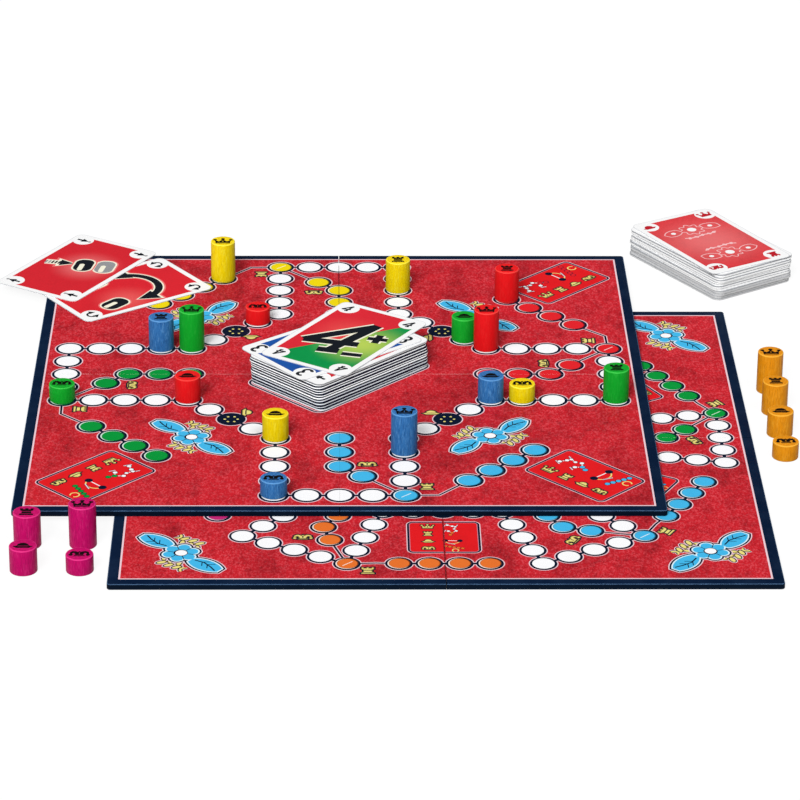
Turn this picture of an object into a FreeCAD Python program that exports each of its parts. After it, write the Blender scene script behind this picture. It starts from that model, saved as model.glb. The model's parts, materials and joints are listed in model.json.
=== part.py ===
# Race board game laid out for play: two folding boards, 24 wooden pieces and a deck of cards.
# Millimetres, +Z up, -Y towards the players' near side, table top at Z 0.
import os
import FreeCAD
import Part
from math import cos, sin, sqrt
from FreeCAD import Placement, Rotation, Vector

doc = FreeCAD.newDocument("RaceBoardGame")

# Driving sizes, one row each: alias, value, meaning
DRIVING = [
    ("board_side", 360, "outer side of a square board"),
    ("board_border", 5.9, "width of the wrapped border beside the printed sheet"),
    ("board_corner", 2, "radius of a board's outer corners"),
    ("core_thickness", 2.8, "greyboard inside a board"),
    ("paper_thickness", 0.3, "wrapping paper and printed sheet"),
    ("crease_gap", 0.4, "gap between two quarters of a board"),
    ("rest_gap", 0.05, "air under a piece that only lies on another"),
    ("board_shift_left", 56.4, "upper board's centre left of the lower board's"),
    ("board_shift_back", 79.8, "upper board's centre behind the lower board's"),
    ("track_margin", 19, "board edge to the outermost row of fields"),
    ("pawn_diameter", 15, "round wooden piece"),
    ("pawn_rounding", 0.5, "rounded rims of a wooden piece"),
    ("crown_height", 25, "tallest piece"),
    ("tower_height", 20, "second piece"),
    ("hat_height", 15, "third piece"),
    ("cap_height", 10, "shortest piece"),
    ("pawn_setback", 2, "pieces stand this far behind a field's centre"),
    ("reserve_spacing", 30, "spacing of the unused pieces on the table"),
    ("magenta_gap", 15.4, "lower board's left edge to the nearest magenta piece"),
    ("magenta_front", 27, "upper board's front edge to the nearest magenta piece"),
    ("orange_gap", 17.1, "lower board's right edge to the orange row"),
    ("orange_back", 72, "first orange piece behind the lower board's centre line"),
    ("card_width", 60, "short side of a card"),
    ("card_length", 92, "long side of a card"),
    ("card_thickness", 0.3, "one card"),
    ("card_corner", 4.5, "radius of a card's corners"),
    ("card_air", 0.02, "air between two cards in a pile"),
    ("card_scatter", 0.5, "how far a card lies out of line in a pile"),
    ("draw_right", 55.2, "draw pile's centre right of the upper board's edge"),
    ("draw_back", 76.8, "draw pile's centre behind the lower board's edge"),
]

# Cards in the two piles, besides those that lie askew on top
DRAW_CARDS = 55
DISCARD_CARDS = 50

# How the cards lie: right of, behind, and turned in degrees from, what each is placed by.
# The low loose card is placed by its right-hand end, the others by their centres.
DRAW_PILE = (0, 0, 33.5)
DRAW_TOP = (-0.2, 1.4, 30)
DISCARD_PILE = (0.6, 1, -45)
DISCARD_SECOND = (-4.3, 7, -51.5)
DISCARD_TOP = (3.2, 14.8, -33.3)
LOOSE_LOW = (-22.66, 9.87, -55)
LOOSE_HIGH = (-31.4, 33.9, -31.5)

# How far the top of a pile leans from its foot, right and back
DRAW_LEAN = Vector(-0.4, 1.2, 0)
DISCARD_LEAN = Vector(-0.9, 3.5, 0)

sizes = doc.addObject("Spreadsheet::Sheet", "Sizes")
for row, (alias, value, meaning) in enumerate(DRIVING, start=1):
    sizes.set(f"A{row}", meaning)
    sizes.set(f"B{row}", str(value))
    sizes.setAlias(f"B{row}", alias)
doc.recompute()


def size(alias):
    return float(sizes.get(alias))


def bind(item, **expressions):
    """Ties properties of an object to expressions in the sheet's aliases."""
    for prop, expression in expressions.items():
        item.setExpression(prop, expression)
    return item


nodes = []


def keep(item, name, placement=Placement()):
    """Marks an object as a finished sub-part under its own name."""
    item.Label = name
    item.Placement = placement
    nodes.append(item)
    return item


def placed(x, y, z, turn=0):
    """A place, with a turn in degrees about the vertical."""
    return Placement(Vector(x, y, z), Rotation(Vector(0, 0, 1), turn))


def carried(name, *items):
    """A compound that can be moved, around objects whose own places are bound to the sizes."""
    group = doc.addObject("Part::Compound", name)
    group.Links = list(items)
    return group


def rounded(base, name, radius, wanted):
    """A Part::Fillet over the edges of base for which wanted(edge) is true."""
    doc.recompute()
    fillet = doc.addObject("Part::Fillet", name)
    fillet.Base = base
    edges = enumerate(base.Shape.Edges, start=1)
    fillet.Edges = [(number, radius, radius) for number, edge in edges if wanted(edge)]
    return fillet


# Boards
# A quarter reaches from the creases, at +X and +Y, to the outer corner, in its board's frame.
HALF = "Sizes.board_side / 2"
INNER = "Sizes.crease_gap / 2"
UNDERSIDE = "0"
CORE_TOP = "Sizes.paper_thickness + Sizes.core_thickness"
TOTAL = "2 * Sizes.paper_thickness + Sizes.core_thickness"

half = size("board_side") / 2
paper = size("paper_thickness")
thickness = 2 * paper + size("core_thickness")
QUARTERS = {"back_right": 0, "back_left": 90, "front_left": 180, "front_right": 270}


def at_outer_corner(edge):
    """True for the upright edge at the board's outer corner."""
    middle = edge.CenterOfMass
    upright = abs(edge.Vertexes[0].Point.x - edge.Vertexes[-1].Point.x) < 0.01
    return upright and min(middle.x, middle.y) > half - size("board_border")


def quarter_block(name, side, low, high):
    """A square slab with its inner corner at the creases."""
    block = doc.addObject("Part::Box", name)
    bind(block, Length=f"{side} - {INNER}", Width=f"{side} - {INNER}", Height=f"{high} - ({low})")
    for axis in "xy":
        block.setExpression(f"Placement.Base.{axis}", INNER)
    block.setExpression("Placement.Base.z", low)
    return block


def core_slab(name):
    side = f"{HALF} - Sizes.paper_thickness"
    slab = quarter_block(f"{name}_slab", side, "Sizes.paper_thickness", CORE_TOP)
    return rounded(slab, name, size("board_corner") - paper, at_outer_corner)


def print_slab(name):
    return quarter_block(name, f"{HALF} - Sizes.board_border", CORE_TOP, TOTAL)


def board_quarter(board, quarter, centre):
    """Greyboard core, wrapping paper and printed sheet of one quarter."""
    place = placed(*centre, QUARTERS[quarter])
    name = f"{board}_{quarter}"
    keep(core_slab(f"{name}_core"), f"{name}_core", place)

    block = quarter_block(f"{name}_block", HALF, UNDERSIDE, TOTAL)
    outer = rounded(block, f"{name}_outer", size("board_corner"), at_outer_corner)
    shell = doc.addObject("Part::Cut", f"{name}_shell")
    shell.Base = outer
    shell.Tool = core_slab(f"{name}_hollow")
    wrap = doc.addObject("Part::Cut", f"{name}_wrap")
    wrap.Base = shell
    wrap.Tool = print_slab(f"{name}_recess")
    keep(wrap, f"{name}_wrap", place)
    sheet = carried(f"{name}_print", print_slab(f"{name}_sheet"))
    keep(sheet, f"{name}_print", place)


def crease_strip(name, place):
    """Strip of the underside's paper that bridges a crease, from the board's centre outwards."""
    strip = doc.addObject("Part::Box", f"{name}_strip")
    run = f"{HALF} - Sizes.board_corner - {INNER}"
    bind(strip, Length=run, Width="Sizes.crease_gap", Height="Sizes.paper_thickness")
    strip.setExpression("Placement.Base.x", INNER)
    strip.setExpression("Placement.Base.y", f"-{INNER}")
    bridge = carried(name, strip)
    bridge.Placement = place
    return bridge


# Each board has three creases and, instead of the fourth, a slit. The turn is from +X.
LOWER_CREASES = {"crease_left": 180, "crease_right": 0, "crease_back": 90}
UPPER_CREASES = {"crease_left": 180, "crease_right": 0, "crease_front": 270}
lower_centre = Vector(0, 0, 0)
upper_rise = thickness + size("rest_gap")
upper_centre = Vector(-size("board_shift_left"), size("board_shift_back"), upper_rise)

for quarter in QUARTERS:
    board_quarter("lower_board", quarter, lower_centre)
    board_quarter("upper_board", quarter, upper_centre)
for crease, turn in LOWER_CREASES.items():
    name = f"lower_board_{crease}"
    place = placed(*lower_centre, turn)
    keep(crease_strip(name, place), name, place)
upper_strips = []
for crease, turn in UPPER_CREASES.items():
    upper_strips.append(crease_strip(f"upper_board_{crease}", placed(0, 0, 0, turn)))
upper_creases = carried("upper_board_creases", *upper_strips)
keep(upper_creases, "upper_board_creases", placed(*upper_centre))

# Track of the upper board
# Each of the four arms is four steps wide and four long, and four diagonal steps join the arms.
ARM_STEPS = 4
reach = half - size("track_margin")
step = reach / (ARM_STEPS / 2 + ARM_STEPS / sqrt(2) + ARM_STEPS)
arm_half = ARM_STEPS / 2 * step
arm_root = reach - ARM_STEPS * step
ARM_TURNS = {"blue": 0, "red": 90, "yellow": 180, "green": 270}
# First waiting field, in steps right of the arm's column and behind its outermost row
WAIT_START = 1.95
WAIT_RISE = 1.04


def arm_point(arm, x, y):
    """Turns a point given for the front arm to the arm of another colour."""
    turned = Rotation(Vector(0, 0, 1), ARM_TURNS[arm]).multVec(Vector(x, y, 0))
    return turned.x, turned.y


def column_field(arm, side, number):
    """Field in an arm's left (-1) or right (+1) column, number 0 nearest the board's centre."""
    return arm_point(arm, side * arm_half, -arm_root - number * step)


def joining_field(arm, number):
    """Field on the diagonal that leaves the right column towards the next arm."""
    shift = number * step / sqrt(2)
    return arm_point(arm, arm_half + shift, -arm_root + shift)


def waiting_field(arm, number):
    """Field where a colour's pieces wait, in a diagonal row beside its arm."""
    shift = number * step / sqrt(2)
    return arm_point(arm, arm_half + WAIT_START * step + shift, -reach + WAIT_RISE * step + shift)


# Wooden pieces
KINDS = ["crown", "tower", "hat", "cap"]
IN_PLAY = {
    "yellow": [
        waiting_field("yellow", 0),
        column_field("yellow", -1, 2),
        column_field("blue", -1, 0),
        column_field("red", -1, 1),
    ],
    "red": [
        column_field("red", 1, 0),
        waiting_field("red", 3),
        column_field("green", 1, 0),
        joining_field("yellow", 1),
    ],
    "green": [
        column_field("green", -1, 0),
        column_field("red", -1, ARM_STEPS),
        joining_field("red", 1),
        column_field("green", 1, ARM_STEPS),
    ],
    "blue": [
        column_field("blue", 1, 1),
        column_field("green", -1, 1),
        column_field("red", -1, 0),
        column_field("blue", -1, ARM_STEPS),
    ],
}


def wooden_piece(colour, kind, x, y, z):
    """Turned hardwood cylinder with rounded rims."""
    name = f"pawn_{colour}_{kind}"
    dowel = doc.addObject("Part::Cylinder", f"{name}_dowel")
    bind(dowel, Radius="Sizes.pawn_diameter / 2", Height=f"Sizes.{kind}_height")
    piece = rounded(dowel, name, size("pawn_rounding"), lambda edge: edge.Closed)
    keep(piece, name, placed(x, y, z + size("rest_gap")))


upper_top = upper_centre.z + thickness
for colour, places in IN_PLAY.items():
    for kind, (x, y) in zip(KINDS, places):
        back = y + size("pawn_setback")
        wooden_piece(colour, kind, upper_centre.x + x, upper_centre.y + back, upper_top)

# Magenta pieces stand in a square before the boards, orange ones in a row beside them
spacing = size("reserve_spacing")
MAGENTA_SQUARE = {"crown": (0, 0), "tower": (1, 0), "hat": (1, 1), "cap": (0, 1)}
for kind, (column, line) in MAGENTA_SQUARE.items():
    x = -half - size("magenta_gap") - column * spacing
    y = upper_centre.y - half - size("magenta_front") - line * spacing
    wooden_piece("magenta", kind, x, y, 0)
for line, kind in enumerate(KINDS):
    x = half + size("orange_gap")
    wooden_piece("orange", kind, x, size("orange_back") - line * spacing, 0)


# Cards
card_pitch = size("card_thickness") + size("card_air")
card_foot = size("rest_gap")


def upright(edge):
    return abs(edge.Vertexes[0].Point.z - edge.Vertexes[-1].Point.z) > size("card_thickness") / 2


def card(name):
    """One card lying on its back, with its centre at the origin."""
    blank = doc.addObject("Part::Box", f"{name}_blank")
    bind(blank, Length="Sizes.card_width", Width="Sizes.card_length", Height="Sizes.card_thickness")
    blank.setExpression("Placement.Base.x", "-Sizes.card_width / 2")
    blank.setExpression("Placement.Base.y", "-Sizes.card_length / 2")
    return rounded(blank, name, size("card_corner"), upright)


pattern = card("card_pattern")
doc.recompute()


def pile(name, count, foot, lean, how):
    """Loose pile, each card a little out of line. Returns the height on which the next card lies."""
    cards = []
    scatter = size("card_scatter")
    right, back, turn = how
    for number in range(count):
        rise = number / count
        x = foot.x + right + lean.x * rise + scatter * sin(2.4 * number) * cos(0.37 * number)
        y = foot.y + back + lean.y * rise + scatter * cos(1.7 * number)
        one = pattern.Shape.copy()
        askew = turn + scatter * sin(0.9 * number)
        one.Placement = placed(x, y, foot.z + number * card_pitch, askew)
        cards.append(one)
    group = doc.addObject("Part::Feature", name)
    group.Shape = Part.makeCompound(cards)
    keep(group, name, group.Placement)
    return foot.z + count * card_pitch


def single_card(name, mark, z, how):
    right, back, turn = how
    keep(card(name), name, placed(mark.x + right, mark.y + back, z, turn))


# The draw pile stands on the table behind the lower board, one card lying askew on top
draw_foot = Vector(upper_centre.x + half + size("draw_right"), half + size("draw_back"), card_foot)
draw_top = pile("draw_pile", DRAW_CARDS, draw_foot, DRAW_LEAN, DRAW_PILE)
single_card("draw_top_card", draw_foot, draw_top, DRAW_TOP)

# The discard pile stands in the middle of the upper board, two cards lying askew on top
middle = Vector(upper_centre.x, upper_centre.y, upper_top + card_foot)
discard_top = pile("discard_pile", DISCARD_CARDS, middle, DISCARD_LEAN, DISCARD_PILE)
single_card("discard_second_card", middle, discard_top, DISCARD_SECOND)
single_card("discard_top_card", middle, discard_top + card_pitch, DISCARD_TOP)

# Two played cards lie over the upper board's back left corner, the low one clear of the yellow crown
crown_x, crown_y = IN_PLAY["yellow"][0]
half_card = Vector(0, -size("card_length") / 2, 0)
inwards = placed(0, 0, 0, LOOSE_LOW[2]).multVec(half_card)
low_mark = Vector(upper_centre.x + crown_x + inwards.x, upper_centre.y + crown_y + inwards.y, 0)
single_card("loose_low_card", low_mark, middle.z, LOOSE_LOW)
high_mark = Vector(low_mark.x + LOOSE_LOW[0], low_mark.y + LOOSE_LOW[1], 0)
single_card("loose_high_card", high_mark, middle.z + card_pitch, LOOSE_HIGH)

doc.recompute()

# The origin is on the table, under the middle of the whole layout
whole = FreeCAD.BoundBox()
for node in nodes:
    whole.add(node.Shape.optimalBoundingBox(False))
centring = placed(-whole.Center.x, -whole.Center.y, 0)
for node in nodes:
    node.Placement = centring.multiply(node.Placement)
doc.recompute()

for item in doc.Objects:
    if "Invalid" in item.State or "Error" in item.State:
        raise ValueError(f"{item.Label} failed: {item.State}")
os.makedirs("parts", exist_ok=True)
for node in nodes:
    if node.Shape.isNull() or not node.Shape.isValid():
        raise ValueError(f"{node.Label} has no valid shape")
    node.Shape.exportStep(f"parts/{node.Label}.step")
print(f"{len(nodes)} sub-parts, {whole.XLength:.1f} x {whole.YLength:.1f} x {whole.ZLength:.1f} mm")
print(f"lower board's centre at {-whole.Center.x:.2f}, {-whole.Center.y:.2f} mm")
print(f"boards {thickness:.2f} mm thick, track step {step:.2f} mm, reach {reach:.1f} mm")
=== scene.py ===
# Looks of a race board game laid out for play: printed boards, dyed wooden pieces and cards.
# Lengths in the dictionaries are millimetres, turns are degrees and colours are sRGB, 0 to 255.
import json
from math import cos, pi, radians, sin
from random import Random

import bpy
from mathutils import Matrix, Vector
from mathutils.geometry import delaunay_2d_cdt

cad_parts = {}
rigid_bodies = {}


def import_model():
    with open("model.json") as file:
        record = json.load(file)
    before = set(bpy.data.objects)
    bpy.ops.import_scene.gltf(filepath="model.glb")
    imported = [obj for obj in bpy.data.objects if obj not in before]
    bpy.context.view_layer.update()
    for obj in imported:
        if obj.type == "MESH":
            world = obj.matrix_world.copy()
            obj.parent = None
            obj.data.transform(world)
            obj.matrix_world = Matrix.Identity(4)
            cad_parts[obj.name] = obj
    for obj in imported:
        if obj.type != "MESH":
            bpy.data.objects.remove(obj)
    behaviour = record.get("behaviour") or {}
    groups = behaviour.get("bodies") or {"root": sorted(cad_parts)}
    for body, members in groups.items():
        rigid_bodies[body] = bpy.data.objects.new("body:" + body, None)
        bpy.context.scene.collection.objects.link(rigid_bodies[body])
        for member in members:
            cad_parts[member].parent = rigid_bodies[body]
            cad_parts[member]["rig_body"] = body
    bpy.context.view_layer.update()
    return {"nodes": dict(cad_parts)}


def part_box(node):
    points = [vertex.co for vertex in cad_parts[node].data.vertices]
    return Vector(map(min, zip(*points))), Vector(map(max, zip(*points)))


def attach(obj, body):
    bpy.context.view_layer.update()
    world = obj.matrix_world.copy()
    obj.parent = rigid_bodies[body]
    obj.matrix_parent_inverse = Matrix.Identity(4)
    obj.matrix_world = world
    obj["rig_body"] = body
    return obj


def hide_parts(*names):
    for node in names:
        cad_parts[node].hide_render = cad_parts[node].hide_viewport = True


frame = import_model()
nodes = frame["nodes"]
scene = bpy.context.scene
mm = 0.001
print("frame loaded")

quarters = ("back_right", "back_left", "front_left", "front_right")
kinds = ("crown", "tower", "hat", "cap")


# Camera and light
def boardCentre(board):
    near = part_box(f"{board}_front_left_print")[1]
    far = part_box(f"{board}_back_right_print")[0]
    return Vector(((near.x + far.x) / 2, (near.y + far.y) / 2, far.z))


cameraLook = {
    "place": (-4, -2068, 954), "lens": 173.4, "sensor": 36, "tilt": 65.007, "pan": -1.004, "near": 50,
}


def placeCamera():
    centre = boardCentre("upper_board")
    bpy.ops.object.camera_add()
    camera = bpy.context.object
    camera.name = "photoCamera"
    camera.location = Vector((centre.x, centre.y, 0)) + Vector([n * mm for n in cameraLook["place"]])
    tilt = Matrix.Rotation(radians(cameraLook["tilt"]), 3, "X")
    camera.rotation_euler = (tilt @ Matrix.Rotation(radians(cameraLook["pan"]), 3, "Y")).to_euler()
    camera.data.lens = cameraLook["lens"]
    camera.data.sensor_width = cameraLook["sensor"]
    camera.data.clip_start = cameraLook["near"] * mm
    scene.camera = camera


studio = {
    "suns": {  # turn from the camera's side, height, share of the light on the table, softness
        "keyLight": (-18, 37, 0.48, 20),
        "leftLight": (-50, 52, 0.15, 24),
        "rightLight": (40, 56, 0.22, 24),
        "backLight": (176, 50, 0.07, 100),
    },
    "air": 0.12, "airInGloss": 0.05,
}


def addSun(name, turn, height, share, softness):
    bpy.ops.object.light_add(type="SUN", location=(0, 0, 2))
    sun = bpy.context.object
    sun.name = name
    sun.data.energy = pi * share / sin(radians(height))
    sun.data.angle = radians(softness)
    sun.rotation_euler = (radians(90 - height), 0, radians(turn))
    sun.visible_glossy = name == "keyLight"


def lightStudio():
    for name, values in studio["suns"].items():
        addSun(name, *values)
    world = bpy.data.worlds.new("studioAir")
    world.use_nodes = True
    tree = world.node_tree
    rays = addNode(tree, "LightPath").outputs
    strength = spread(rays["Is Camera Ray"], 0, 1, studio["air"], 1)
    dimmed = spread(rays["Is Glossy Ray"], 0, 1, 1, studio["airInGloss"] / studio["air"])
    fill(tree.nodes["Background"], {"Strength": times(strength, dimmed), "Color": (1, 1, 1, 1)})
    scene.world = world
    scene.view_settings.view_transform = "Standard"


# Colours and nodes. What takes a socket finds the node tree through it
def tint(colour):
    linear = [c / 255 / 12.92 if c <= 10 else ((c / 255 + 0.055) / 1.055) ** 2.4 for c in colour]
    return (*linear, 1)


def shade(colour, factor):
    return tuple(min(255, c * factor) for c in colour)


def fill(node, given):  # each input is linked to another node's output or set to a value
    for label, value in given.items():
        if isinstance(value, bpy.types.NodeSocket):
            node.id_data.links.new(value, node.inputs[label])
        else:
            node.inputs[label].default_value = value


def addNode(tree, kind, given=None, **settings):
    node = tree.nodes.new(f"ShaderNode{kind}")
    for setting, value in settings.items():
        setattr(node, setting, value)
    fill(node, given or {})
    return node


def startGroup(name, colours, numbers, points=()):  # a group that gives a colour and a height
    tree = bpy.data.node_groups.new(name, "ShaderNodeTree")
    given = {"Color": colours, "Float": numbers, "Vector": points}
    sockets = [(label, kind, "INPUT") for kind, labels in given.items() for label in labels]
    for label, kind, side in sockets + [("Colour", "Color", "OUTPUT"), ("Height", "Float", "OUTPUT")]:
        tree.interface.new_socket(label, in_out=side, socket_type=f"NodeSocket{kind}")
    return tree, tree.nodes.new("NodeGroupInput").outputs, tree.nodes.new("NodeGroupOutput")


def noise(coordinates, scale, detail, roughness=0.55):
    given = {"Vector": coordinates, "Scale": scale, "Detail": detail, "Roughness": roughness}
    return addNode(coordinates.id_data, "TexNoise", given).outputs["Fac"]


def spread(value, low, high, outLow=0, outHigh=1):
    given = {"Value": value, "From Min": low, "From Max": high, "To Min": outLow, "To Max": outHigh}
    return addNode(value.id_data, "MapRange", given, interpolation_type="SMOOTHSTEP").outputs["Result"]


def reckon(operation, first, second):
    return addNode(first.id_data, "Math", {0: first, 1: second}, operation=operation).outputs[0]


def times(first, second):
    return reckon("MULTIPLY", first, second)


def blended(mask, under, over):  # the node's colour inputs are 6 and 7, its colour output is 2
    return addNode(mask.id_data, "Mix", {0: mask, 6: under, 7: over}, data_type="RGBA").outputs[2]


def objectPoint(tree):
    return addNode(tree, "TexCoord").outputs["Object"]


def stretchedPoint(tree, scale):
    return addNode(tree, "Mapping", {"Vector": objectPoint(tree), "Scale": scale}).outputs["Vector"]


# the rim mask: where wear and a painted highlight make edges paler
def wornAndLitRim(tree):
    return addNode(tree, "Attribute", attribute_name="wornAndLitRim").outputs["Fac"]


# Printed paper: mottled ink with darker clouds and light flecks, and on the cards a glow round a point
def makePrintGroup():
    colours, numbers = ("Base", "Dark", "Light", "Glow"), ("Patches", "Flecks", "Reach", "Glowing")
    tree, given, end = startGroup("printedPaper", colours, numbers, ("Centre",))
    point = objectPoint(tree)
    drawn = stretchedPoint(tree, (1, 0.6, 1))
    broad = spread(noise(drawn, 42, 3), 0.42, 0.7)
    cloudy = spread(noise(drawn, 150, 4, 0.6), 0.44, 0.7)
    hollows = spread(noise(drawn, 700, 5, 0.7), 0.38, 0.5, 1, 0)
    clouds = reckon("ADD", times(broad, 0.65), times(cloudy, 0.5))
    darkness = times(reckon("ADD", clouds, times(hollows, 0.55)), given["Patches"])
    flecks = spread(noise(drawn, 820, 4, 0.75), 0.48, 0.6)
    lit = blended(times(flecks, given["Flecks"]), given["Base"], given["Light"])
    dimmed = blended(darkness, lit, given["Dark"])
    away = addNode(tree, "VectorMath", {0: point, 1: given["Centre"]}, operation="DISTANCE").outputs["Value"]
    ring = spread(reckon("DIVIDE", away, given["Reach"]), 0, 1, 1, 0)
    glowing = blended(times(ring, given["Glowing"]), dimmed, given["Glow"])
    fill(end, {"Colour": glowing, "Height": noise(point, 2600, 2)})
    return tree


# Dyed wood: long dark streaks down the grain, short pores, and paler rims: wear with a painted highlight
def makeWoodGroup():
    tree, given, end = startGroup("dyedWood", ("Base", "Dark", "Light"), ("Streaks", "Rim"))
    grain = noise(stretchedPoint(tree, (1, 1, 0.16)), 1500, 4, 0.6)
    bands = noise(stretchedPoint(tree, (1, 1, 0.2)), 900, 5, 0.7)
    pores = spread(noise(stretchedPoint(tree, (1, 1, 0.25)), 2600, 3, 0.6), 0.54, 0.7)
    streaks = reckon("ADD", spread(grain, 0.46, 0.72), times(pores, 0.8))
    paler = times(spread(bands, 0.48, 0.66), given["Streaks"])
    wood = blended(paler, given["Base"], given["Light"])
    wood = blended(times(streaks, given["Streaks"]), wood, given["Dark"])
    # paler rims: wear and a painted highlight on the rounded edges
    wornAndLit = blended(times(wornAndLitRim(tree), given["Rim"]), wood, given["Light"])
    fill(end, {"Colour": wornAndLit, "Height": reckon("SUBTRACT", grain, pores)})
    return tree


# Wear and a painted highlight on folded or cut paper edges: a broken pale line where the rim attribute is
# set
def makeEdgeGroup():
    tree, given, end = startGroup("edgeWearAndHighlight", ("Base", "WornAndLit"), ("Amount",))
    point = objectPoint(tree)
    broken = spread(noise(point, 200, 3, 0.6), 0.3, 0.62, 0.6, 1)
    cloudy = spread(noise(point, 60, 3), 0.35, 0.7, 0, 0.05)
    lifted = blended(cloudy, given["Base"], given["WornAndLit"])
    # the pale rim line: wear and a painted highlight along the rolled edge
    mask = times(times(wornAndLitRim(tree), broken), given["Amount"])
    wornAndLit = blended(mask, lifted, given["WornAndLit"])
    fill(end, {"Colour": wornAndLit, "Height": noise(point, 1500, 3, 0.6)})
    return tree


printGroup = makePrintGroup()
woodGroup = makeWoodGroup()
edgeGroup = makeEdgeGroup()
materials = {}
reliefDepth = 0.05


def finish(name, group, values, roughness, relief, gloss, glow=0):
    material = bpy.data.materials.new(name)
    material.use_nodes = True
    tree = material.node_tree
    given = {label: tint(v) if isinstance(v, tuple) else v for label, v in values.items()}
    effect = addNode(tree, "Group", given, node_tree=group)
    height = {"Strength": relief, "Distance": reliefDepth * mm, "Height": effect.outputs["Height"]}
    fill(tree.nodes["Principled BSDF"], {
        "Base Color": effect.outputs["Colour"], "Roughness": roughness, "Specular IOR Level": gloss,
        "Emission Color": (1, 1, 1, 1), "Emission Strength": glow,
        "Normal": addNode(tree, "Bump", height).outputs["Normal"],
    })
    materials[name] = material


def mixInk(name, colour, look, patches, flecks, glow=0, more=None):
    values = {"Base": colour, "Dark": shade(colour, look["dark"]), "Light": shade(colour, look["light"]),
              "Patches": patches, "Flecks": flecks, **(more or {})}
    finish(name, printGroup, values, look["roughness"], look["relief"], look["gloss"], glow)


# Each ink: its colour, how patchy and how flecked it is
inkLook = {"dark": 0.6, "light": 1.35, "roughness": 0.6, "relief": 0.2, "gloss": 0.06}
inks = {
    "boardRed": ((203, 31, 43), 0.6, 0.7),
    "panelRed": ((226, 26, 32), 0.12, 0.05),
    "fieldWhite": ((250, 250, 252), 0.03, 0),
    "lineWhite": ((236, 206, 214), 0.05, 0),
    "lineMauve": ((188, 138, 158), 0.1, 0.1),
    "inkNavy": ((12, 24, 48), 0.1, 0.02),
    "straw": ((236, 220, 128), 0.15, 0.1),
    "strawDark": ((150, 128, 60), 0.15, 0.1),
    "creaseWorn": ((234, 122, 130), 0.25, 0.3),
    "slitShade": ((166, 26, 36), 0.3, 0.2),
}
boardTones = {"Dark": (126, 20, 28), "Light": (232, 84, 94)}
fieldInks = {
    "skyBlue": ((66, 182, 232), 0.06), "cherry": ((226, 34, 42), 0.06), "sun": ((240, 215, 10), 0.05),
    "leaf": ((4, 150, 58), 0.08), "tangerine": ((231, 114, 44), 0.06), "berry": ((196, 40, 118), 0.06),
}
fieldInkLook = {"gleam": 0.2, "shade": 0.55, "rimPatches": 0.05, "flecks": 0.03}
for name, (colour, patches) in fieldInks.items():  # each with a lit and a shaded rim
    gleam = tuple(255 - (255 - c) * fieldInkLook["gleam"] for c in colour)
    rims = {"Gleam": gleam, "Shade": shade(colour, fieldInkLook["shade"])}
    inks[name] = (colour, patches, fieldInkLook["flecks"])
    for rim, tone in rims.items():
        inks[f"{name}{rim}"] = (tone, fieldInkLook["rimPatches"], fieldInkLook["flecks"])


# Cards lie where their solids lie
def placeOfCard(node):  # a turn and a move to where the card's top lies, its long side along local Y
    mesh = nodes[node].data
    low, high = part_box(node)
    longest, along = 0, Vector((0, 1, 0))
    for polygon in mesh.polygons:
        if abs(polygon.normal.z) < 0.1:  # a side of the card
            ends = [mesh.vertices[v].co for v in polygon.vertices]
            for a, b in zip(ends, ends[1:] + ends[:1]):
                side = Vector((b.x - a.x, b.y - a.y, 0))
                if side.length > longest:
                    longest, along = side.length, side.normalized()
    if along.y < 0:
        along = -along
    turn = Vector((0, 1)).angle_signed(Vector((along.x, along.y)))
    middle = (low + high) / 2
    return Matrix.Translation((middle.x, middle.y, high.z)) @ Matrix.Rotation(-turn, 4, "Z")


def cardSize():
    place = placeOfCard("loose_low_card").inverted()
    points = [place @ v.co for v in nodes["loose_low_card"].data.vertices]
    width, length, thick = [(max(p[n] for p in points) - min(p[n] for p in points)) / mm for n in range(3)]
    return round(width, 2), round(length, 2), thick


cardWidth, cardLength, cardThick = cardSize()
cardInkLook = {"dark": 0.72, "light": 1.3, "roughness": 0.45, "relief": 0.1, "gloss": 0.12, "patches": 0.12,
               "flecksPerPatch": 0.8}
cardInks = {
    "cardWhite": (250, 250, 250), "cardRed": (222, 40, 54), "stepRed": (214, 36, 48),
    "turnRed": (220, 36, 48), "cardGreen": (8, 150, 74), "cardBlue": (26, 84, 166),
    "cardGlow": (250, 246, 222), "backRed": (222, 60, 66), "backPale": (250, 196, 198),
    "backDark": (190, 26, 40), "cardHalo": (238, 112, 112), "cardBlack": (24, 28, 36),
    "cardGrey": (150, 150, 152), "cardEdge": (214, 216, 220), "cardRim": (204, 207, 213),
    "pileWhite": (248, 252, 255), "pileNeutral": (250, 250, 250), "pileDull": (206, 206, 207),
    # the pile's gap inks are painted shade
    "pileBlue": (226, 234, 242), "pileNavy": (3, 18, 44), "pileGrey": (178, 180, 184),
}
cardPatches = {"backRed": 0.3, "cardWhite": 0.02}
paintedPileGlows = {  # painted light: the pile edge inks glow, to keep the edges bright white
    "pileWhite": 0.36, "pileBlue": 0.16, "pileNeutral": 0.18, "pileDull": 0.08,
}
cardGlows = {  # ink: card, point on it, reach, colour and strength
    "cardGreen": ("discard_top_card", (14, -2), 34, (204, 222, 92), 0.8),
    "cardRed": ("discard_top_card", (-4, 8), 26, (246, 96, 92), 0.5),
    "stepRed": ("loose_high_card", (4, 4), 26, (250, 150, 150), 0.55),
    "turnRed": ("loose_low_card", (14, -8), 24, (250, 120, 116), 0.5),
    "backRed": ("draw_top_card", (0, 0), 46, (244, 136, 136), 0.6),
}
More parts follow.
